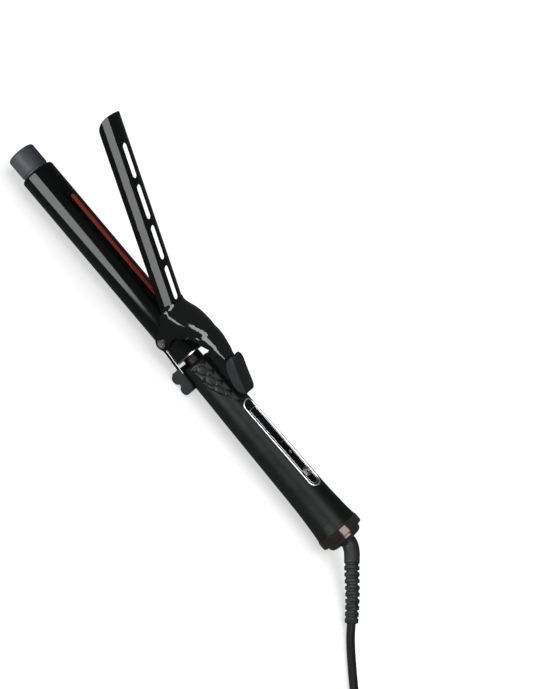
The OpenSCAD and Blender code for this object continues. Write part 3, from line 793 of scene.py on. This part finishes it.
def ribbed_guard():
    """Flexible guard: a smooth elbow, then ribs joined alternately on two sides, narrowing to the cord."""
    line = through(GUARD_ROUTE, 12)
    along = [0.0]
    for a, b in zip(line, line[1:]):
        along.append(along[-1] + (b - a).length)
    whole = along[-1]
    plain = 17.0

    def radius(i, angle):
        s = along[i]
        full = mix(5.7, 4.7, s / whole)
        if s > whole - 0.8:
            full -= (s - whole + 0.8) * 0.9
        if s < plain:
            return full
        number, part = divmod((s - plain) / RIB_PITCH, 1)
        groove = blend_in((part - 0.02) / 0.12) * blend_in((0.56 - part) / 0.12)
        facing = math.cos(angle) if number % 2 else math.sin(angle)
        open_side = blend_in((abs(facing) - 0.28) / 0.2)
        return full - 1.35 * groove * mix(0.35, 1, open_side)

    return piece("ribbed_guard", *tube(line, radius, 56), "guard_rubber", "swivel", ["cord_guard"])


def plug_shell():
    """Flat two-pin plug body, widening from the cord's collar to a gripped shoulder."""
    low, high = box_mm("plug_body")
    centre = (low + high) / 2
    stations = [
        (0, 3.7, 3.7), (1.2, 4.1, 4.1), (6, 4.7, 4.6), (9, 5.6, 4.9), (12.5, 9.5, 5.6), (17, 14, 6.5),
        (21.5, 17, 6.85), (27, 17.65, 6.85), (32, 17.3, 6.85), (35.6, 17.3, 6.8),
        (36.8, 16.9, 6.4), (37, 15.5, 5.2),
    ]
    rows = []
    for y, wide, tall in stations:
        squareness = mix(1.0, 0.42, blend_in((y - 6) / 12))
        row = []
        for k in range(40):
            a = 2 * math.pi * k / 40
            c, d = math.cos(a), math.sin(a)
            row.append((
                centre.x + wide * math.copysign(abs(c) ** squareness, c),
                low.y + y,
                centre.z + tall * math.copysign(abs(d) ** squareness, d),
            ))
        rows.append(row)
    verts, faces = skin(rows, closed=True, capped=True)
    return piece("plug_shell", verts, faces, "plug_plastic", "swivel", ["plug_body"])


paint_nodes()
guard = ribbed_guard()
plug = plug_shell()
mains_cord = add_cord()
lever = formed_lever()
blade = vented_blade()
thumb_rest()
web_under_arm()
stand_arms()
stand_feet()
grip_scales()
panel_bead()
panel_lines()
button_marks()
rounded_tip()
rounded = (
    "handle_upper_shell", "handle_lower_shell", "rear_band", "end_cap", "barrel_tube", "barrel_collar",
)
for name in rounded:
    add_bevel(NODES[name], 0.2)


# ---- stage ----
def add_table():
    made, tree, shader = principled("table", (0.93, 0.93, 0.93), 0.75, Emission_Strength=0.6)
    shader.inputs["Emission Color"].default_value = (1, 1, 1, 1)
    vary_color(tree, shader, noise(tree, 6, 3), (0.92, 0.92, 0.92), (0.95, 0.95, 0.95))
    mesh = bpy.data.meshes.new("table")
    half = 4.0
    corners = [(-half, -half, 0), (half, -half, 0), (half, half, 0), (-half, half, 0)]
    mesh.from_pydata(corners, [], [(0, 1, 2, 3)])
    mesh.materials.append(made)
    table = bpy.data.objects.new("table", mesh)
    table.location.z = -0.0002
    table.visible_glossy = False
    bpy.context.scene.collection.objects.link(table)
    return table


def add_world():
    """Dim even surroundings: what the iron mirrors between the softboxes stays dark."""
    scene = bpy.context.scene
    scene.view_settings.view_transform = "Standard"
    world = bpy.data.worlds.new("studio")
    world.use_nodes = True
    world.node_tree.nodes["Background"].inputs["Color"].default_value = (1, 1, 1, 1)
    world.node_tree.nodes["Background"].inputs["Strength"].default_value = 0.1
    scene.world = world


def only_for(light, pieces):
    """Keeps a light to some pieces; an empty list would light everything."""
    group = bpy.data.collections.new(light.name + "_receivers")
    for lit in pieces:
        group.objects.link(lit)
    light.light_linking.receiver_collection = group


def add_lamp(kind, name, energy, lit):
    data = bpy.data.lights.new(name, kind)
    data.energy = energy
    light = bpy.data.objects.new(name, data)
    light.visible_camera = False
    bpy.context.scene.collection.objects.link(light)
    only_for(light, lit)
    return light, data


def softbox(name, direction, distance, size, radiance, lit, tilt=0.0, shape="RECTANGLE"):
    """Flat light facing the frame's origin from a direction, tilted about the line to it."""
    light, data = add_lamp("AREA", name, radiance * math.pi * size[0] * size[1], lit)
    data.shape = shape
    data.size, data.size_y = size
    away = Vector(direction).normalized()
    light.location = away * distance
    light.rotation_mode = "QUATERNION"
    light.rotation_quaternion = away.to_track_quat("Z", "Y") @ Quaternion((0, 0, 1), math.radians(tilt))


table = add_table()
add_world()
sun_data = add_lamp("SUN", "table_sun", 1.4, [table])[1]
sun_data.angle = math.radians(70)
iron_pieces = [item for item in bpy.data.objects if item.type in ("MESH", "CURVE") and item != table]


def of_slots(*slots):
    """Pieces whose first material is one of some slots'."""
    wanted = [MATERIALS[slot] for slot in slots]
    return [item for item in iron_pieces if item.data.materials[0] in wanted]


bright_pieces = of_slots("chrome_trim", "steel_strip", "bare_aluminium")
gloss_pieces = of_slots("barrel_coating", "collar_plastic", "panel_gloss", "display_glass")
others = (blade, lever, *gloss_pieces, *bright_pieces)
satin_pieces = [item for item in iron_pieces if item not in others]
softbox("side_box", (-0.53, -1.5, 0.13), 1.6, (0.8, 1.7), 5.6, gloss_pieces + satin_pieces, shape="ELLIPSE")
softbox("end_box", (0.53, -0.42, 0.74), 1.5, (1.1, 0.6), 6.8, [blade], tilt=32)
softbox("arch_box", (0.12, -0.24, 0.96), 1.5, (1.5, 0.55), 12.0, [lever])
softbox("bonnet_box", (-0.42, -0.78, 0.4), 1.5, (0.9, 0.5), 11.0, [lever])
softbox("top_box", (0.1, -0.5, 1), 1.4, (1.6, 0.9), 1.6, satin_pieces)
softbox("trim_box", (0.1, -0.5, 1), 1.4, (1.8, 1.2), 4.0, bright_pieces)
